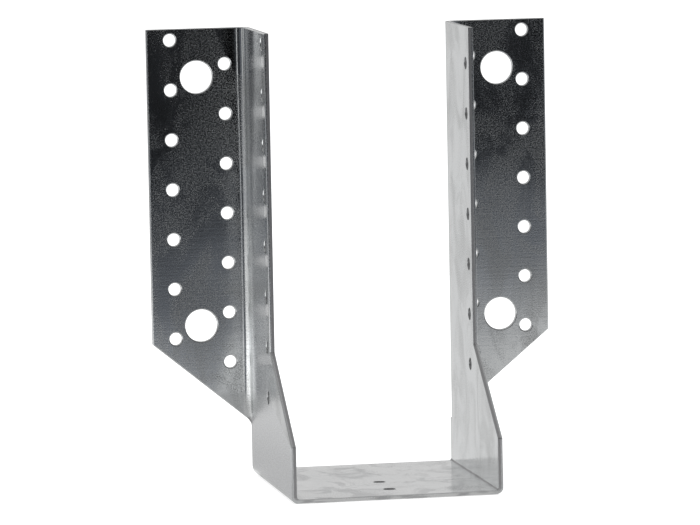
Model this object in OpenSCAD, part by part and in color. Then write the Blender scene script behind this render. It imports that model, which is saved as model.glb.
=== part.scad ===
// Face-fixed joist hanger, folded from one galvanised sheet.
// It carries the end of a timber joist against the side of a beam or a wall.
// X runs across the joist, +Y points along it to the beam, and Z is up.
// The origin lies on the seat's underside, midway from its front edge to the beam face.

/* [Joist pocket] */
// Clear width between the side plates
pocket_w = 80; // [50:1:140]
// Overall height, from the seat's underside to the top edges
hanger_h = 180.5; // [164:0.5:260]
// Depth from the seat's front edge to the beam face
seat_d = 90; // [80:1:120]

/* [Sheet and folds] */
// Thickness of the sheet
sheet_t = 2; // [1.5:0.1:3]
// Inside radius of the two folds at the seat
seat_fold_r = 1; // [0.5:0.1:3]
// Inside radius of the two folds at the flanges
flange_fold_r = 3; // [2:0.1:4]

/* [Side plates] */
// Depth of a plate's upper part, from its front edge to the beam face
upper_d = 47.5; // [40:0.5:56]
// Height of the short front edge below the slant
nose_h = 22.5; // [12:0.5:32]
// Height at which the slant reaches the upper part
slant_top_h = 54.5; // [46:0.5:70]
// Setback of the seat and the plates' lower back edges from the beam face
back_setback = 2; // [1:0.5:4]

/* [Flanges] */
// Width of a flange, from the side plate's outer face to its free edge
flange_w = 39.5; // [36:0.5:50]
// Height of the lower outer corner, where the slant starts
flange_corner_h = 54; // [48:0.5:70]
// Angle of the lower slant, from level
flange_slant = 39.5; // [30:0.5:42]
// Radius of the inner corner under the slant
relief_r = 4; // [2:0.5:6]

/* [Nail holes] */
// Diameter of every nail hole
nail_d = 5; // [3:0.5:6]
// Distance between the holes of a column
nail_pitch = 20; // [15:1:22]
// Distance from the top edge to the first hole of a high column
nail_top = 4.5; // [4:0.5:10]
// Distance by which a low column starts further down
nail_stagger = 10; // [7:0.5:12]
// Distance from a flange's free edge to its outer column
nail_edge = 9.5; // [6:0.5:12]
// Distance between the two columns of a flange
nail_column_gap = 22; // [20:0.5:24]
// Number of holes in each flange column, and in the right plate's column
nail_rows = 7; // [2:1:7]
// Number of holes in the left plate's column
left_plate_nails = 8; // [2:1:8]
// Distance from a side plate's upper front edge to its column
plate_nail_edge = 6; // [5:0.5:12]
// Distance from the seat's front edge to its first hole
seat_nail_edge = 17; // [8:0.5:24]
// Number of holes in the seat
seat_nails = 2; // [1:1:3]

/* [Bolt holes] */
// Diameter of the bolt holes
bolt_d = 13; // [9:0.5:13]
// Distance from a flange's free edge to the bolt holes
bolt_edge = 20; // [18:0.5:22]
// Distance from the top edge to the upper bolt hole
bolt_top = 19.5; // [16:0.5:24]
// Distance between the two bolt holes of a flange
bolt_gap = 100; // [60:20:100]

/* [Hidden] */
$fn = 96;
steel_grey = "#aeb4b8";
// Overshoot of a cutter past the faces that it opens
over = 1;
// Faces of the pocket and the plates, right of the middle
inner_x = pocket_w / 2;
outer_x = inner_x + sheet_t;
edge_x = outer_x + flange_w;
// Planes along the joist
beam_y = seat_d / 2;
front_y = beam_y - seat_d;
upper_front_y = beam_y - upper_d;
lower_back_y = beam_y - back_setback;
// Axis of the fold between a side plate and its flange
fold_x = outer_x + flange_fold_r;
fold_y = beam_y - sheet_t - flange_fold_r;
// The flange's slant meets the line of the plate's outer face here
slant_foot_h = flange_corner_h - flange_w * tan(flange_slant);
// Lower end of the rounded inner corner under the slant
relief_low_h = slant_foot_h - relief_r * tan((90 - flange_slant) / 2);
relief_x = outer_x + relief_r;
// Columns of holes
outer_nail_x = edge_x - nail_edge;
inner_nail_x = outer_nail_x - nail_column_gap;
plate_nail_y = upper_front_y + plate_nail_edge;
bolt_x = edge_x - bolt_edge;
high_nail_z = hanger_h - nail_top;
low_nail_z = high_nail_z - nail_stagger;

// Quarter of a folded sheet's section, in the quadrant up and left of the fold's axis
module fold_section(inside_r) {
    outside_r = inside_r + sheet_t;
    intersection() {
        difference() {
            circle(outside_r);
            circle(inside_r);
        }
        translate([-outside_r, 0]) square(outside_r);
    }
}

// Right half of the seat and plate section, seen from the front
module trough_half() {
    outside_r = seat_fold_r + sheet_t;
    corner_x = outer_x - outside_r;
    square([corner_x, sheet_t]);
    translate([corner_x, outside_r]) rotate(180) fold_section(seat_fold_r);
    translate([inner_x, outside_r]) square([sheet_t, hanger_h - outside_r]);
}

// Outline of a side plate with the seat, seen from the right
module plate_outline() {
    polygon([
        [front_y, 0],
        [front_y, nose_h],
        [upper_front_y, slant_top_h],
        [upper_front_y, hanger_h],
        [fold_y, hanger_h],
        [fold_y, relief_low_h],
        [lower_back_y, relief_low_h],
        [lower_back_y, 0]
    ]);
}

// Seat and both side plates
module trough() {
    intersection() {
        translate([0, beam_y, 0]) rotate([90, 0, 0]) linear_extrude(seat_d) {
            trough_half();
            mirror([1, 0]) trough_half();
        }
        translate([-outer_x - over, 0, 0]) rotate([90, 0, 90])
            linear_extrude(2 * (outer_x + over)) plate_outline();
    }
}

// Fold and flange on the right, seen from above
module flange_section() {
    translate([fold_x, fold_y]) fold_section(flange_fold_r);
    translate([fold_x, beam_y - sheet_t]) square([edge_x - fold_x, sheet_t]);
}

// Outline of the right flange with its fold, seen from the front
module flange_outline() {
    polygon([
        [inner_x, relief_low_h],
        [outer_x, relief_low_h],
        [outer_x, slant_foot_h],
        [edge_x, flange_corner_h],
        [edge_x, hanger_h],
        [inner_x, hanger_h]
    ]);
    difference() {
        polygon([
            [outer_x, relief_low_h],
            [relief_x, relief_low_h],
            [relief_x - relief_r * sin(flange_slant), relief_low_h + relief_r * cos(flange_slant)],
            [outer_x, slant_foot_h]
        ]);
        translate([relief_x, relief_low_h]) circle(relief_r);
    }
}

// Right flange with its fold, rounded down to the plate's lower back edge
module flange() {
    difference() {
        intersection() {
            linear_extrude(hanger_h) flange_section();
            translate([0, beam_y + over, 0]) rotate([90, 0, 0])
                linear_extrude(sheet_t + flange_fold_r + 2 * over) flange_outline();
        }
        translate([inner_x - over, beam_y, relief_low_h]) rotate([0, 90, 0])
            cylinder(r = back_setback, h = fold_x - inner_x + over);
    }
}

// Holes of one flange, right of the middle
module flange_holes() {
    for (row = [0 : nail_rows - 1]) {
        along_y(outer_nail_x, high_nail_z - row * nail_pitch, nail_d);
        along_y(inner_nail_x, low_nail_z - row * nail_pitch, nail_d);
    }
    for (drop = [0, bolt_gap]) along_y(bolt_x, hanger_h - bolt_top - drop, bolt_d);
}

// Cutter through a flange
module along_y(x, z, d) {
    translate([x, beam_y + over, z]) rotate([90, 0, 0]) cylinder(d = d, h = sheet_t + 2 * over);
}

// Column of cutters through one side plate
module plate_holes(x, top_z, count) {
    for (row = [0 : count - 1])
        translate([x - over, plate_nail_y, top_z - row * nail_pitch]) rotate([0, 90, 0])
            cylinder(d = nail_d, h = sheet_t + 2 * over);
}

// Cutters through the seat
module seat_holes() {
    for (row = [0 : seat_nails - 1])
        translate([0, front_y + seat_nail_edge + row * nail_pitch, -over])
            cylinder(d = nail_d, h = sheet_t + 2 * over);
}

module hanger() {
    color(steel_grey) difference() {
        union() {
            trough();
            flange();
            mirror([1, 0, 0]) flange();
        }
        flange_holes();
        mirror([1, 0, 0]) flange_holes();
        plate_holes(-outer_x, high_nail_z, left_plate_nails);
        plate_holes(inner_x, low_nail_z, nail_rows);
        seat_holes();
    }
}

hanger();
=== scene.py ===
import math

import bpy
from mathutils import Matrix, Vector


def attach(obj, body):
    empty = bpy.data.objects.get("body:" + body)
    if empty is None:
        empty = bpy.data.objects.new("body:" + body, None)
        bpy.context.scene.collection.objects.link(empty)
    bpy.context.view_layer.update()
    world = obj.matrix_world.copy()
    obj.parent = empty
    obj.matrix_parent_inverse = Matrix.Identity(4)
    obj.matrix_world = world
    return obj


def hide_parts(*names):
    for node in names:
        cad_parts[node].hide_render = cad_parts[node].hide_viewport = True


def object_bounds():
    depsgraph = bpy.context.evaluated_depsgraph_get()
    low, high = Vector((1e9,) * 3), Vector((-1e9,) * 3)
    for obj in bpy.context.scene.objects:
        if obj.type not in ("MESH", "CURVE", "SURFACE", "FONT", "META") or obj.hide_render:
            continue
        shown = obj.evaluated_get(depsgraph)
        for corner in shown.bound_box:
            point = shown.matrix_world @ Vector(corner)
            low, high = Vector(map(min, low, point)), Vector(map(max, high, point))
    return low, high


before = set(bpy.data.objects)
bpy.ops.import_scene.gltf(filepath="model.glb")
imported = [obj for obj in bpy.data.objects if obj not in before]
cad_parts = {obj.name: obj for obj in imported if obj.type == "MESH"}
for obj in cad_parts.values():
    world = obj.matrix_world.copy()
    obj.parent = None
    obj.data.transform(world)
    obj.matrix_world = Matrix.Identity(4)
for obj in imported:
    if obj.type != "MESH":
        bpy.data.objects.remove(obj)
cad_low, cad_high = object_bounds()

MM = 0.001
# Shift of a face that keeps it off the plane of another
HAIR = 0.02
# How far a cutter passes the faces that it opens
OVER = 1.0

# Sizes of the hanger in millimetres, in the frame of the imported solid
HIGH = round(cad_high.z / MM, 3)
EDGE_X = round(cad_high.x / MM, 3)
BEAM_Y = round(cad_high.y / MM, 3)
FRONT_Y = round(cad_low.y / MM, 3)
SHEET = 2.0
INNER_X = 40.0
OUTER_X = INNER_X + SHEET
UPPER_FRONT_Y = BEAM_Y - 47.5
NOSE_HIGH = 22.5
SLANT_TOP = 54.5
# Two hairs in front of the solid's edges, which lie level with the flanges' front
LOWER_BACK_Y = BEAM_Y - 2.0 - 2 * HAIR

# Folds, by their inside radius
SEAT_FOLD = 1.0
FLANGE_FOLD = 3.0
FOLD_X = OUTER_X + FLANGE_FOLD
FOLD_Y = BEAM_Y - SHEET - FLANGE_FOLD
# Outside radius of the seat folds, and half the width of the flat seat between them
SEAT_CORNER = SEAT_FOLD + SHEET
SEAT_FLAT = OUTER_X - SEAT_CORNER
# Lengths of the folds' arcs at mid sheet
SEAT_ARC = (SEAT_FOLD + SHEET / 2) * math.pi / 2
FLANGE_ARC = (FLANGE_FOLD + SHEET / 2) * math.pi / 2
# What a point on a side plate gains over its height when the sheet is laid flat
BLANK_GAIN = SEAT_FLAT + SEAT_ARC - SEAT_CORNER

# Slanted lower edge of a flange, and the rounded inner corner under it
CORNER_HIGH = 54.0
SLANT_ANGLE = 39.5
FLANGE_SLOPE = math.tan(math.radians(SLANT_ANGLE))
SLANT_FOOT = CORNER_HIGH - FLANGE_SLOPE * (EDGE_X - OUTER_X)
RELIEF = 4.0
RELIEF_LOW = SLANT_FOOT - RELIEF * math.tan(math.radians((90 - SLANT_ANGLE) / 2))
# Length along each side that the rounded corner takes
RELIEF_RUN = SLANT_FOOT - RELIEF_LOW
FOLD_FOOT = RELIEF_LOW + HAIR

# Holes
NAIL_R = 2.5
BOLT_R = 6.5
PITCH = 20.0
NAIL_ROWS = 7
LEFT_PLATE_ROWS = 8
OUTER_NAIL_X = EDGE_X - 9.5
INNER_NAIL_X = OUTER_NAIL_X - 22.0
PLATE_NAIL_Y = UPPER_FRONT_Y + 6.0
HIGH_NAIL_Z = HIGH - 4.5
LOW_NAIL_Z = HIGH_NAIL_Z - 10.0
BOLT_X = EDGE_X - 20.0
BOLT_Z = (HIGH - 19.5, HIGH - 119.5)
SEAT_NAIL_Y = (FRONT_Y + 17.0, FRONT_Y + 37.0)

# Rounding of the edges: rolled on the punch's side, burred on the other, broken at the corners
EDGE_ROLL = 0.45
BURR_BREAK = 0.15
CORNER_BREAK = 0.3
# Angle from which an edge counts as sharp
SHARP = math.radians(40)

# Slope of the slight curve with which the flanges run into their folds, low down and at the top,
# the same for the side plates, and how far each curve reaches
SWELL_LOW = 0.07
SWELL_HIGH = 0.20
SWELL_REACH = 2.5
PLATE_SWELL = 0.24
PLATE_REACH = 2.0

# Heights of the zinc's relief, in metres
SPECKLE_HIGH = 1.3e-5
LINES_HIGH = 0.7e-5
WAVES_HIGH = 7e-4
SCRATCH_DEEP = 1e-5
TORN_HIGH = 4e-5
# Distance between the sheet's two sides on the blank's third axis, so that their marks differ
SIDES_APART = 60

# Colours of the zinc, of what lies on it, and of the painted shade in the seat folds' inner creases
# and at the lower end of each flange fold
ZINC = (0.67, 0.685, 0.69, 1)
ZINC_CLOUD = (0.56, 0.57, 0.57, 1)
SCRATCHED = (0.80, 0.80, 0.80, 1)
SEAT_RUBBED = (0.745, 0.75, 0.75, 1)
SEAT_SMEARED = (0.49, 0.495, 0.50, 1)
# Painted shade along the inner crease of each seat fold
CREASE_SHADE = (0.30, 0.30, 0.305, 1)
# Painted shade at the lower end of each flange fold
CUP_SHADE = (0.26, 0.26, 0.265, 1)
BURNISHED = (0.70, 0.71, 0.72, 1)
TORN = (0.52, 0.52, 0.525, 1)

# Levels of the studio, where 1 is white
ROOM_FRONT = 0.012
ROOM_BACK = 0.85
CEILING = 0.5
FILL = 0.75
TABLE_GLOW = 0.62
# Level of the table close to the hanger, a painted shade of the hanger on the table, and the
# distance within which its light no longer grows
FOOT_LEVEL = 0.58
NEAREST = 0.4
WHITE = (1, 1, 1, 1)
TABLE_WHITE = (0.86, 0.86, 0.86, 1)
# Tint of the table where it is dim
DIM_TABLE = (0.93, 1.0, 1.13, 1)
# Full scale of the gains and fades below, which a colour ramp holds as shares of 1
RAMP_SCALE = 8
# Light of the table by bearing from the front:
# degrees, gain near the hanger, fade per metre, level far away
TABLE_LIGHT = (
    (-180, 0.10, 3.0, 0.76), (-168, 0.10, 3.0, 0.76), (-162, 0.3, 3.0, 0.60),
    (-150, 0.3, 3.0, 0.60), (-130, 4.0, 2.2, 0.12), (-58, 4.0, 2.2, 0.12),
    (-50, 0.25, 2.0, 0.03), (-30, 0.25, 2.0, 0.04), (-23, 4.5, 4.0, 0.10),
    (-13, 4.8, 4.0, 0.09), (-6, 2.0, 4.2, 0.01), (-1, 1.3, 4.5, 0.0),
    (3, 2.7, 4.6, 0.0), (5, 1.6, 3.8, 0.0), (7, 0.55, 2.3, 0.0), (8.7, 0.60, 2.3, 0.035),
    (15.5, 0.65, 2.2, 0.0), (17.5, 1.15, 2.2, 0.0), (20, 1.45, 2.2, 0.01), (25, 1.5, 2.2, 0.05),
    (90, 1.2, 2.0, 0.5), (165, 0.10, 3.0, 0.76), (180, 0.10, 3.0, 0.76),
)

# Camera of the photograph
PHOTO_WIDTH = 700
FOCAL_PIXELS = 5400.0
SENSOR = 36.0
CAMERA_AT = Vector((-412.91, -2083.0, 313.24)) * MM
CAMERA_YAW = 0.19168
CAMERA_PITCH = 0.10538
CAMERA_ROLL = -0.01857


def camera():
    """Puts the camera where the photograph was taken from."""
    yaw, pitch, roll = CAMERA_YAW, CAMERA_PITCH, CAMERA_ROLL
    across = math.cos(pitch)
    ahead = Vector((math.sin(yaw) * across, math.cos(yaw) * across, -math.sin(pitch)))
    level_right = ahead.cross(Vector((0, 0, 1))).normalized()
    level_up = level_right.cross(ahead)
    right = math.cos(roll) * level_right + math.sin(roll) * level_up
    up = math.cos(roll) * level_up - math.sin(roll) * level_right
    data = bpy.data.cameras.new("photo_camera")
    data.sensor_width = SENSOR
    data.lens = FOCAL_PIXELS * SENSOR / PHOTO_WIDTH
    data.clip_start, data.clip_end = 0.01, 100
    eye = bpy.data.objects.new("photo_camera", data)
    bpy.context.scene.collection.objects.link(eye)
    turn = Matrix((right, up, -ahead)).transposed().to_4x4()
    eye.matrix_world = Matrix.Translation(CAMERA_AT) @ turn
    bpy.context.scene.camera = eye


class Net:
    """Short calls for building a node tree, which starts empty."""

    def __init__(self, tree):
        tree.nodes.clear()
        self.nodes, self.links = tree.nodes, tree.links

    def feed(self, socket, value):
        """Sets a socket from a number, a colour or another socket."""
        if isinstance(value, bpy.types.NodeSocket):
            self.links.new(value, socket)
        else:
            socket.default_value = value

    def add(self, kind, **settings):
        node = self.nodes.new("ShaderNode" + kind)
        for name, value in settings.items():
            setattr(node, name, value)
        return node

    def put(self, node, **values):
        """Feeds sockets by name, with spaces written as underscores."""
        for name, value in values.items():
            self.feed(node.inputs[name.replace("_", " ")], value)
        return node

    def axes(self, vector):
        """X, Y and Z of a vector."""
        node = self.add("SeparateXYZ")
        self.links.new(vector, node.inputs[0])
        return node.outputs["X"], node.outputs["Y"], node.outputs["Z"]

    def attribute(self, name, output):
        return self.add("Attribute", attribute_name=name).outputs[output]

    def math(self, operation, *values):
        node = self.add("Math", operation=operation)
        for socket, value in zip(node.inputs, values):
            self.feed(socket, value)
        return node.outputs[0]

    def plus(self, first, second):
        return self.math("ADD", first, second)

    def minus(self, first, second):
        return self.math("SUBTRACT", first, second)

    def times(self, first, second):
        return self.math("MULTIPLY", first, second)

    def length(self, first, second):
        """Length of a flat vector."""
        return self.math("SQRT", self.plus(self.times(first, first), self.times(second, second)))

    def span(self, value, low, high, out_low, out_high, kind="SMOOTHSTEP"):
        """Maps a value from one range to another, held at both ends."""
        node = self.add("MapRange", interpolation_type=kind)
        self.put(node, Value=value, From_Min=low, From_Max=high, To_Min=out_low, To_Max=out_high)
        return node.outputs[0]

    def noise(self, vector, scale, detail=2.0, roughness=0.5, distortion=0.0):
        node = self.add("TexNoise")
        self.put(node, Vector=vector, Scale=scale, Detail=detail)
        self.put(node, Roughness=roughness, Distortion=distortion)
        return node.outputs["Fac"]

    def drawn(self, vector, factors, **settings):
        """Noise with a scale of its own along each axis."""
        node = self.put(self.add("Mapping"), Vector=vector, Scale=factors)
        return self.noise(node.outputs[0], 1.0, **settings)

    def blend(self, factor, first, second):
        """Colour between two colours."""
        node = self.add("Mix", data_type="RGBA")
        for place, value in ((0, factor), (6, first), (7, second)):
            self.feed(node.inputs[place], value)
        return node.outputs[2]

    def mix(self, factor, first, second):
        """Value between two values."""
        node = self.add("Mix", data_type="FLOAT")
        for place, value in ((0, factor), (2, first), (3, second)):
            self.feed(node.inputs[place], value)
        return node.outputs[0]

    def bump(self, height):
        return self.put(self.add("Bump"), Strength=1.0, Distance=1.0, Height=height).outputs[0]

    def glow(self, strength, colour=WHITE):
        return self.put(self.add("Emission"), Strength=strength, Color=colour).outputs[0]

    def sky(self, strength, colour):
        return self.put(self.add("Background"), Strength=strength, Color=colour).outputs[0]

    def choose(self, switch, first, second):
        """First shader where the switch is 0, second where it is 1."""
        node = self.add("MixShader")
        for socket, value in zip(node.inputs, (switch, first, second)):
            self.links.new(value, socket)
        return node.outputs[0]

    def metal(self, colour, rough, normal):
        shader = self.add("BsdfPrincipled")
        self.put(shader, Base_Color=colour, Metallic=1.0, Roughness=rough, Normal=normal)
        return shader.outputs[0]

    def finish(self, shader, kind="Material"):
        self.links.new(shader, self.add("Output" + kind).inputs["Surface"])


def new_material(name):
    """New material and its empty net."""
    material = bpy.data.materials.new(name)
    material.use_nodes = True
    return material, Net(material.node_tree)


def studio_world():
    """White for the camera; for the steel a room, dark in front, grey behind and lit from above."""
    world = bpy.data.worlds.new("studio")
    bpy.context.scene.world = world
    world.use_nodes = True
    net = Net(world.node_tree)
    _, ahead, up = net.axes(net.add("TexCoord").outputs["Generated"])
    wall = net.span(ahead, -0.5, 0.8, ROOM_FRONT, ROOM_BACK)
    room = net.mix(net.span(up, 0.35, 0.9, 0.0, 1.0), wall, CEILING)
    path = net.add("LightPath")
    mirrored = net.put(net.add("Background"), Strength=room).outputs[0]
    lit = net.choose(path.outputs["Is Glossy Ray"], net.sky(FILL, WHITE), mirrored)
    net.finish(net.choose(path.outputs["Is Camera Ray"], lit, net.sky(1.0, WHITE)), "World")


def by_bearing(net, x, y):
    """Gain, fade and far level of the table's light at a bearing, the first two as shares."""
    bearing = net.math("ARCTAN2", x, net.times(y, -1.0))
    ramp = net.add("ValToRGB")
    share = net.span(bearing, -math.pi, math.pi, 0.0, 1.0, "LINEAR")
    net.links.new(share, ramp.inputs[0])
    stops = ramp.color_ramp.elements
    while len(stops) > 1:
        stops.remove(stops[-1])
    for place, (degrees, gain, fade, base) in enumerate(TABLE_LIGHT):
        at = (degrees + 180) / 360
        stop = stops[0] if place == 0 else stops.new(at)
        stop.position = at
        stop.color = (gain / RAMP_SCALE, fade / RAMP_SCALE, base, 1)
    parts = net.add("SeparateColor")
    net.links.new(ramp.outputs["Color"], parts.inputs[0])
    return parts.outputs[0], parts.outputs[1], parts.outputs[2]


def table_light(net):
    """What the steel mirrors of the table: bright at the left and behind, fading to the front."""
    x, y, _ = net.axes(net.add("TexCoord").outputs["Object"])
    gain, fade, base = by_bearing(net, x, y)
    distance = net.length(x, y)
    fall = net.times(net.times(net.math("MAXIMUM", distance, NEAREST), fade), -RAMP_SCALE)
    spot = net.times(net.times(gain, RAMP_SCALE), net.math("EXPONENT", fall))
    # Painted shade of the hanger on the table near its foot, kept off the table right behind the
    # hanger
    clear = net.span(distance, 0.10, 0.25, 0.0, 1.0)
    behind = net.times(net.span(y, 0.03, 0.06, 0.0, 1.0), net.span(x, -0.047, -0.042, 0.0, 1.0))
    return net.mix(net.math("MAXIMUM", clear, behind), FOOT_LEVEL, net.plus(spot, base))


def floor():
    """White table under the hanger."""
    deselect()
    bpy.ops.mesh.primitive_plane_add(size=16)
    table = bpy.context.active_object
    table.name = "floor"
    material, net = new_material("white_table")
    path = net.add("LightPath")
    matte = net.put(net.add("BsdfDiffuse"), Color=TABLE_WHITE).outputs[0]
    seen = net.add("AddShader")
    net.links.new(matte, seen.inputs[0])
    net.links.new(net.glow(TABLE_GLOW), seen.inputs[1])
    level = table_light(net)
    tint = net.blend(net.span(level, 0.15, 0.6, 0.0, 1.0), DIM_TABLE, WHITE)
    other = net.choose(path.outputs["Is Glossy Ray"], matte, net.glow(level, tint))
    net.finish(net.choose(path.outputs["Is Camera Ray"], other, seen.outputs[0]))
    table.data.materials.append(material)


def reflector(name, bearing, distance, size, level):
    """Upright card on the table that only the steel mirrors, facing the hanger from a bearing."""
    deselect()
    bpy.ops.mesh.primitive_plane_add(size=1)
    card = bpy.context.active_object
    card.name = name
    turn = math.radians(bearing)
    card.scale = (size[0], size[1], 1)
    card.location = (distance * math.sin(turn), -distance * math.cos(turn), size[1] / 2)
    card.rotation_euler = (math.pi / 2, 0, turn)
    bpy.ops.object.transform_apply(location=True, rotation=True, scale=True)
    material, net = new_material(name)
    net.finish(net.glow(level))
    card.data.materials.append(material)
    card.visible_camera = card.visible_diffuse = card.visible_shadow = False


def soft_light(name, at, target, size, power):
    """Rectangular lamp at a point, turned to a target, which the steel doesn't mirror."""
    data = bpy.data.lights.new(name, "AREA")
    data.shape = "RECTANGLE"
    data.size, data.size_y = size
    data.energy = power
    lamp = bpy.data.objects.new(name, data)
    bpy.context.scene.collection.objects.link(lamp)
    lamp.location = at
    lamp.rotation_euler = (Vector(target) - Vector(at)).to_track_quat("-Z", "Y").to_euler()
    lamp.visible_camera = lamp.visible_glossy = False


def lights():
    soft_light("overhead", (0.1, 0.1, 1.6), (0, 0, 0), (1.6, 1.6), 9)
    reflector("front_left_card", -22, 1.0, (0.09, 0.7), 1.1)
    reflector("left_card", -82, 1.5, (0.3, 0.5), 0.6)


def grain_group():
    """Node group: the zinc's speckle, as a height and as a mask of its coarser grains."""
    tree = bpy.data.node_groups.new("zinc_grain", "ShaderNodeTree")
    for name, kind in (("Vector", "Vector"), ("Scale", "Float"), ("Depth", "Float")):
        tree.interface.new_socket(name, in_out="INPUT", socket_type="NodeSocket" + kind)
    for name in ("Height", "Coarse"):
        tree.interface.new_socket(name, in_out="OUTPUT", socket_type="NodeSocketFloat")
    net = Net(tree)
    given = net.nodes.new("NodeGroupInput").outputs
    out = net.nodes.new("NodeGroupOutput").inputs
    speckle = net.noise(given["Vector"], given["Scale"], detail=2.0, roughness=0.65)
    net.links.new(net.times(speckle, given["Depth"]), out["Height"])
    net.links.new(net.span(speckle, 0.42, 0.64, 0.0, 1.0), out["Coarse"])


def grain(net, vector, scale, depth):
    """Adds the grain group and returns its height and mask."""
    node = net.nodes.new("ShaderNodeGroup")
    node.node_tree = bpy.data.node_groups["zinc_grain"]
    net.put(node, Vector=vector, Scale=scale, Depth=depth)
    return node.outputs["Height"], node.outputs["Coarse"]


def bend_rise(net, along, start, reach):
    """Rise from -1 to 1 across one end of a fold's arc, steepest there."""
    away = net.minus(along, start * MM)
    shrink = net.math("EXPONENT", net.times(net.math("ABSOLUTE", away), -1 / (reach * MM)))
    return net.times(net.math("SIGN", away), net.minus(1.0, shrink))


def fold_swell(net, blank, side):
    """Height of the slight curve with which flange and plate run into their fold."""
    along, up, _ = net.axes(blank)
    up = net.math("ABSOLUTE", up)
    slope = net.span(up, 0.15, 0.215, SWELL_LOW, SWELL_HIGH)
    flange = net.times(bend_rise(net, along, FOLD_Y + FLANGE_ARC, SWELL_REACH), slope)
    plate = net.plus(bend_rise(net, along, FOLD_Y, PLATE_REACH), 1.0)
    plate = net.times(plate, net.span(up, 0.058, 0.073, 0.0, PLATE_SWELL * PLATE_REACH * MM))
    swell = net.plus(net.times(flange, -SWELL_REACH * MM), plate)
    return net.times(swell, net.minus(1.0, side))


def fold_end(net, blank):
    """Mask of a small cup of painted shade at the lower end of each flange fold, where the fold
    opens out to the flat plate.
    """
    along, up, _ = net.axes(blank)
    along = net.minus(along, (FOLD_Y + 0.5 * FLANGE_ARC) * MM)
    up = net.minus(net.math("ABSOLUTE", up), (BLANK_GAIN + RELIEF_LOW + 1.5) * MM)
    return net.span(net.length(along, up), 1.2 * MM, 3.4 * MM, 1.0, 0.0)


def use_marks_and_crease_shade(net, blank, side):
    """Masks of the seat, of the smears on it and of the painted shade in its inner folds."""
    _, up, _ = net.axes(blank)
    up = net.math("ABSOLUTE", up)
    smears = net.drawn(blank, (55, 75, 40), detail=5.0, roughness=0.6, distortion=1.2)
    smears = net.span(smears, 0.46, 0.62, 0.0, 1.0)
    seat = net.span(up, SEAT_FLAT * MM, (SEAT_FLAT - 3) * MM, 0.0, 1.0)
    off = net.math("ABSOLUTE", net.minus(up, (SEAT_FLAT + SEAT_ARC / 2) * MM))
    inside = net.span(side, 0.6, 0.9, 0.0, 1.0)
    # Dark line of painted shade along the inner crease of each seat fold
    crease_shade = net.times(net.span(off, 0.5 * MM, 1.3 * MM, 1.0, 0.0), inside)
    return seat, smears, crease_shade


def sheet_relief(net, blank, side, speckle, scratch):
    """Bump of the sheet: speckle, faint lines, long waves, curves by the folds and scratches."""
    lines = net.drawn(blank, (14, 1100, 40), detail=2.0)
    waves = net.drawn(blank, (22, 14, 22), detail=1.0)
    relief = net.plus(speckle, net.times(lines, LINES_HIGH))
    relief = net.plus(relief, net.times(waves, WAVES_HIGH))
    relief = net.plus(relief, fold_swell(net, blank, side))
    return net.bump(net.minus(relief, net.times(scratch, SCRATCH_DEEP)))


def steel():
    """Galvanised sheet as it left the rolls, with clouds, a few scratches, the marks of use on the
    seat, and painted shade in the seat folds' inner creases and at the lower end of each flange
    fold.
    """
    material, net = new_material("zinc_sheet")
    blank = net.attribute("blank", "Vector")
    side = net.attribute("through", "Fac")
    speckle, coarse = grain(net, blank, 2000.0, SPECKLE_HIGH)
    clouds = net.drawn(blank, (60, 34, 40), detail=5.0, roughness=0.62, distortion=0.8)
    scratch = net.span(net.drawn(blank, (30, 2600, 60), detail=1.0), 0.77, 0.84, 0.0, 0.7)
    # Small cup of painted shade where each flange fold ends
    cup_shade = fold_end(net, blank)
    seat, smears, crease_shade = use_marks_and_crease_shade(net, blank, side)

    colour = net.blend(net.span(clouds, 0.40, 0.66, 0.0, 1.0), ZINC, ZINC_CLOUD)
    colour = net.blend(scratch, colour, SCRATCHED)
    colour = net.blend(seat, colour, net.blend(smears, SEAT_RUBBED, SEAT_SMEARED))
    # Painted shade: dark in the seat folds' inner creases and at the lower end of each flange fold
    colour = net.blend(crease_shade, colour, CREASE_SHADE)
    colour = net.blend(cup_shade, colour, CUP_SHADE)

    rough = net.span(clouds, 0.35, 0.7, 0.06, 0.12)
    rough = net.plus(rough, net.times(coarse, net.span(clouds, 0.36, 0.60, 0.10, 0.28)))
    rough = net.plus(rough, net.times(net.math("MAXIMUM", cup_shade, crease_shade), 0.2))
    rough = net.plus(rough, net.times(scratch, 0.15))
    net.finish(net.metal(colour, rough, sheet_relief(net, blank, side, speckle, scratch)))
    return material


def sheared():
    """Cut edge of the sheet: a burnished band on the punch's side, torn and duller behind it."""
    material, net = new_material("sheared_edge")
    place = net.add("TexCoord").outputs["Object"]
    through = net.attribute("through", "Fac")
    height, coarse = grain(net, place, 2600.0, TORN_HIGH)
    ragged = net.plus(through, net.times(net.noise(place, 900, detail=3.0), 0.25))
    torn = net.span(ragged, 0.48, 0.60, 0.0, 1.0)
    rough = net.plus(net.span(torn, 0, 1, 0.22, 0.42, "LINEAR"), net.times(coarse, 0.08))
    colour = net.blend(torn, BURNISHED, TORN)
    net.finish(net.metal(colour, rough, net.bump(net.times(height, torn))))
    return material


def deselect():
    """Leaves edit mode and clears the selection."""
    if bpy.context.object and bpy.context.object.mode != "OBJECT":
        bpy.ops.object.mode_set(mode="OBJECT")
    bpy.ops.object.select_all(action="DESELECT")


def take(piece):
    """Makes one piece the selected and active one."""
    deselect()
    piece.select_set(True)
    bpy.context.view_layer.objects.active = piece


def placed(name):
    """Puts the place of the active piece into its mesh and names it."""
    bpy.ops.object.transform_apply(location=True, rotation=True, scale=True)
    bpy.context.active_object.name = name
    return bpy.context.active_object


def block(name, low, high):
    """Box between two corners, in millimetres."""
    deselect()
    low, high = Vector(low) * MM, Vector(high) * MM
    bpy.ops.mesh.primitive_cube_add(size=1, location=(low + high) / 2, scale=high - low)
    return placed(name)


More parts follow.
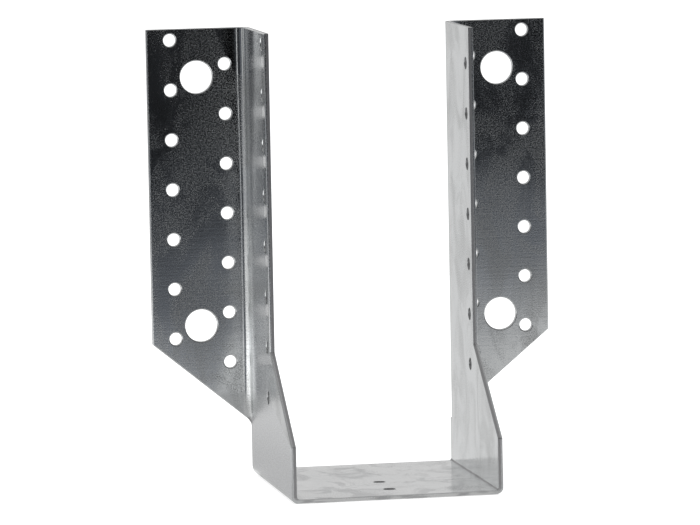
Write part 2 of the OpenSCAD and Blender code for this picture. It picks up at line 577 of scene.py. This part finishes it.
def rod(name, centre, axis, radius, length, sides):
    """Cylinder along an axis, in millimetres, centred on a point."""
    deselect()
    turn = Vector(axis).to_track_quat("Z", "Y").to_euler()
    bpy.ops.mesh.primitive_cylinder_add(
        vertices=sides, radius=radius * MM, depth=length * MM,
        location=Vector(centre) * MM, rotation=turn,
    )
    return placed(name)


def pick(piece, kind):
    """Clears a piece's own selection of corners or edges, ready for another one."""
    take(piece)
    bpy.ops.object.mode_set(mode="EDIT")
    bpy.ops.mesh.select_mode(type=kind)
    bpy.ops.mesh.select_all(action="DESELECT")
    bpy.ops.object.mode_set(mode="OBJECT")


def round_edges(piece, chosen, radius, segments):
    """Rounds the edges whose two ends, in millimetres, both pass a test."""
    pick(piece, "EDGE")
    for edge in piece.data.edges:
        edge.select = all(chosen(piece.data.vertices[i].co / MM) for i in edge.vertices)
    bpy.ops.object.mode_set(mode="EDIT")
    bpy.ops.mesh.bevel(offset=radius * MM, segments=segments, profile=0.5, affect="EDGES")
    bpy.ops.object.mode_set(mode="OBJECT")


def shift_corners(piece, chosen, move):
    """Moves the corners that pass a test, by millimetres."""
    pick(piece, "VERT")
    for vertex in piece.data.vertices:
        vertex.select = chosen(vertex.co / MM)
    bpy.ops.object.mode_set(mode="EDIT")
    bpy.ops.transform.translate(value=Vector(move) * MM)
    bpy.ops.object.mode_set(mode="OBJECT")


def combine(piece, other, operation):
    """Joins or cuts a piece with another one, which is used up."""
    modifier = piece.modifiers.new(operation.lower(), "BOOLEAN")
    modifier.operation = operation
    modifier.solver = "EXACT"
    modifier.object = other
    take(piece)
    bpy.ops.object.modifier_apply(modifier=modifier.name)
    bpy.data.objects.remove(other, do_unlink=True)


def near(value, target):
    return abs(value - target) < 0.01


def trough():
    """Seat and side plates, with the two seat folds."""
    piece = block("hanger_sheet", (-OUTER_X, FRONT_Y, 0), (OUTER_X, LOWER_BACK_Y, HIGH))
    round_edges(piece, lambda p: near(p.z, 0) and near(abs(p.x), OUTER_X), SEAT_CORNER, 10)
    low = (-INNER_X, FRONT_Y - OVER, SHEET)
    pocket = block("pocket", low, (INNER_X, BEAM_Y + OVER, HIGH + OVER))
    round_edges(pocket, lambda p: near(p.z, SHEET) and near(abs(p.x), INNER_X), SEAT_FOLD, 6)
    combine(piece, pocket, "DIFFERENCE")
    wide = OUTER_X + OVER
    low = (-wide, FRONT_Y - OVER, SLANT_TOP)
    front = block("front_cutter", low, (wide, UPPER_FRONT_Y, HIGH + OVER))
    run = UPPER_FRONT_Y - FRONT_Y
    drop = (SLANT_TOP - NOSE_HIGH) * (run + OVER) / run
    shift_corners(front, lambda p: near(p.z, SLANT_TOP) and p.y < FRONT_Y, (0, 0, -drop))
    combine(piece, front, "DIFFERENCE")
    low = (-wide, FOLD_Y - HAIR, FOLD_FOOT)
    back = block("back_cutter", low, (wide, BEAM_Y + OVER, HIGH + OVER))
    combine(piece, back, "DIFFERENCE")
    return piece


def folded_strip():
    """Right flange with its fold, straight across at the foot of the fold."""
    piece = block("flange", (INNER_X, FOLD_Y - HAIR, FOLD_FOOT), (EDGE_X, BEAM_Y, HIGH))
    outside = FLANGE_FOLD + SHEET
    round_edges(piece, lambda p: near(p.x, INNER_X) and near(p.y, BEAM_Y), outside, 12)
    low = (OUTER_X, FOLD_Y - OVER, RELIEF_LOW - OVER)
    hollow = block("fold_cutter", low, (EDGE_X + OVER, BEAM_Y - SHEET, HIGH + OVER))
    inner = BEAM_Y - SHEET
    round_edges(hollow, lambda p: near(p.x, OUTER_X) and near(p.y, inner), FLANGE_FOLD, 12)
    combine(piece, hollow, "DIFFERENCE")
    return piece


def flanges():
    """Both flanges with their folds, down to the slanted lower edge."""
    piece = folded_strip()
    far_x = EDGE_X + OVER
    near_x = OUTER_X - HAIR
    low = (near_x, FOLD_Y - OVER, 0)
    under = block("slant_cutter", low, (far_x, BEAM_Y + OVER, SLANT_FOOT))
    rise = FLANGE_SLOPE * (far_x - near_x)
    shift_corners(under, lambda p: near(p.z, SLANT_FOOT) and near(p.x, far_x), (0, 0, rise))
    round_edges(under, lambda p: near(p.z, SLANT_FOOT) and p.x < OUTER_X, RELIEF_RUN, 12)
    combine(piece, under, "DIFFERENCE")
    middle = ((INNER_X + FOLD_X) / 2, BEAM_Y, RELIEF_LOW)
    setback = BEAM_Y - LOWER_BACK_Y
    across = FOLD_X - INNER_X + 2 * OVER
    combine(piece, rod("relief_cutter", middle, (1, 0, 0), setback, across, 64), "DIFFERENCE")
    mirror = piece.modifiers.new("other_side", "MIRROR")
    mirror.use_mirror_merge = False
    take(piece)
    bpy.ops.object.modifier_apply(modifier=mirror.name)
    return piece


def nail_punch(at, axis):
    return rod("nail_punch", at, axis, NAIL_R, SHEET + 2 * OVER, 48)


def bolt_punch(at):
    return rod("bolt_punch", at, (0, 1, 0), BOLT_R, SHEET + 2 * OVER, 72)


def side_punches(side):
    """Cutters of the holes in the flange and the plate of one side, left at -1 and right at 1."""
    rods = []
    mid_y = BEAM_Y - SHEET / 2
    for row in range(NAIL_ROWS):
        for x, top in ((OUTER_NAIL_X, HIGH_NAIL_Z), (INNER_NAIL_X, LOW_NAIL_Z)):
            rods.append(nail_punch((side * x, mid_y, top - row * PITCH), (0, 1, 0)))
    for z in BOLT_Z:
        rods.append(bolt_punch((side * BOLT_X, mid_y, z)))
    rows, top = (LEFT_PLATE_ROWS, HIGH_NAIL_Z) if side < 0 else (NAIL_ROWS, LOW_NAIL_Z)
    for row in range(rows):
        at = (side * (INNER_X + SHEET / 2), PLATE_NAIL_Y, top - row * PITCH)
        rods.append(nail_punch(at, (1, 0, 0)))
    return rods


def punches():
    """All the holes' cutters as one piece."""
    rods = side_punches(-1) + side_punches(1)
    for y in SEAT_NAIL_Y:
        rods.append(nail_punch((0, y, SHEET / 2), (0, 0, 1)))
    take(rods[0])
    for other in rods[1:]:
        other.select_set(True)
    bpy.ops.object.join()
    return rods[0]


def in_flange_fold(p):
    """True for a point between a plate and its flange, above the foot of their fold."""
    return p.y > FOLD_Y and p.z > RELIEF_LOW


def through_sheet(p):
    """How deep a point lies in the sheet: 0 on the side that was punched first, 1 on the other."""
    x, y, z = abs(p.x), p.y, p.z
    if x > FOLD_X:
        return (y - (BEAM_Y - SHEET)) / SHEET
    if in_flange_fold(p):
        return (math.hypot(FOLD_X - x, y - FOLD_Y) - FLANGE_FOLD) / SHEET
    if z < SEAT_CORNER and x > SEAT_FLAT:
        return (SEAT_CORNER - math.hypot(x - SEAT_FLAT, z - SEAT_CORNER)) / SHEET
    return z / SHEET if z < SEAT_CORNER else (OUTER_X - x) / SHEET


def on_blank(p):
    """Place of a point on the flat blank: along plate and flange, up from the seat's middle."""
    x, y, z = abs(p.x), p.y, p.z
    along, up = y, BLANK_GAIN + z
    if x > FOLD_X:
        along = FOLD_Y + FLANGE_ARC + x - FOLD_X
    elif x <= SEAT_FLAT:
        up = x
    elif z < SEAT_CORNER:
        up = SEAT_FLAT + SEAT_ARC * math.atan2(x - SEAT_FLAT, SEAT_CORNER - z) / (math.pi / 2)
    elif in_flange_fold(p):
        along = FOLD_Y + FLANGE_ARC * math.atan2(y - FOLD_Y, FOLD_X - x) / (math.pi / 2)
    return Vector((along, math.copysign(up, p.x), SIDES_APART * through_sheet(p))) * MM


def is_cut(depths):
    """True for a face that runs through the sheet, from the depths of its corners."""
    return max(depths) - min(depths) > 0.5


def at_relief(p):
    """True in the small corner where the fold, the slant and the plate's back edge meet."""
    return p.y > FOLD_Y - 0.1 and abs(p.x) < FOLD_X + 0.5 and abs(p.z - RELIEF_LOW) < 3.6


def faces_by_edge(mesh):
    """Normals of the faces at each edge."""
    normals = {}
    for face in mesh.polygons:
        for key in face.edge_keys:
            normals.setdefault(key, []).append(face.normal)
    return normals


def edge_breaks(mesh):
    """Marks each sharp edge with the share of the widest rounding that it gets."""
    depth = [through_sheet(v.co / MM) for v in mesh.vertices]
    normals = faces_by_edge(mesh)
    weights = mesh.attributes.new("bevel_weight_edge", "FLOAT", "EDGE")
    for edge in mesh.edges:
        a, b = edge.vertices
        pair = normals[edge.key]
        if len(pair) != 2 or pair[0].angle(pair[1]) < SHARP:
            continue
        if at_relief(mesh.vertices[a].co / MM) or at_relief(mesh.vertices[b].co / MM):
            continue
        share = BURR_BREAK / EDGE_ROLL
        if abs(depth[a] - depth[b]) > 0.5:
            share = CORNER_BREAK / EDGE_ROLL
        elif depth[a] + depth[b] < 1.0:
            share = 1.0
        weights.data[edge.index].value = share


def punched_sheet():
    """The folded sheet with all its holes, as one clean mesh with sharp edges."""
    sheet = trough()
    combine(sheet, flanges(), "UNION")
    combine(sheet, punches(), "DIFFERENCE")
    take(sheet)
    bpy.ops.object.mode_set(mode="EDIT")
    bpy.ops.mesh.select_all(action="SELECT")
    bpy.ops.mesh.remove_doubles(threshold=1e-6)
    bpy.ops.mesh.dissolve_limited(angle_limit=math.radians(0.5))
    bpy.ops.mesh.delete_loose(use_faces=False)
    bpy.ops.object.mode_set(mode="OBJECT")
    return sheet


def break_edges(sheet):
    """Rounds the sharp edges, and keeps the shading of the large faces flat."""
    edge_breaks(sheet.data)
    bevel = sheet.modifiers.new("broken_edges", "BEVEL")
    bevel.width = EDGE_ROLL * MM
    bevel.segments = 3
    bevel.limit_method = "WEIGHT"
    bevel.use_clamp_overlap = False
    bpy.ops.object.modifier_apply(modifier=bevel.name)
    bpy.ops.object.shade_smooth_by_angle(angle=SHARP)
    weighted = sheet.modifiers.new("flat_faces", "WEIGHTED_NORMAL")
    weighted.mode = "FACE_AREA"
    weighted.weight = 100
    weighted.keep_sharp = True
    bpy.ops.object.modifier_apply(modifier=weighted.name)


def finish_faces(sheet):
    """Notes each point's place on the blank, and gives the flat and the cut faces their finish."""
    mesh = sheet.data
    through = mesh.attributes.new("through", "FLOAT", "POINT")
    blank = mesh.attributes.new("blank", "FLOAT_VECTOR", "POINT")
    for vertex in mesh.vertices:
        through.data[vertex.index].value = through_sheet(vertex.co / MM)
        blank.data[vertex.index].vector = on_blank(vertex.co / MM)
    grain_group()
    for finish in (steel(), sheared()):
        mesh.materials.append(finish)
    for face in mesh.polygons:
        face.material_index = int(is_cut([through.data[i].value for i in face.vertices]))


def dressed_hanger():
    """The folded sheet with broken edges and its finishes."""
    sheet = punched_sheet()
    break_edges(sheet)
    finish_faces(sheet)
    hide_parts("hanger")
    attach(sheet, "root")


bpy.context.scene.view_settings.view_transform = "Standard"
camera()
studio_world()
floor()
lights()
dressed_hanger()
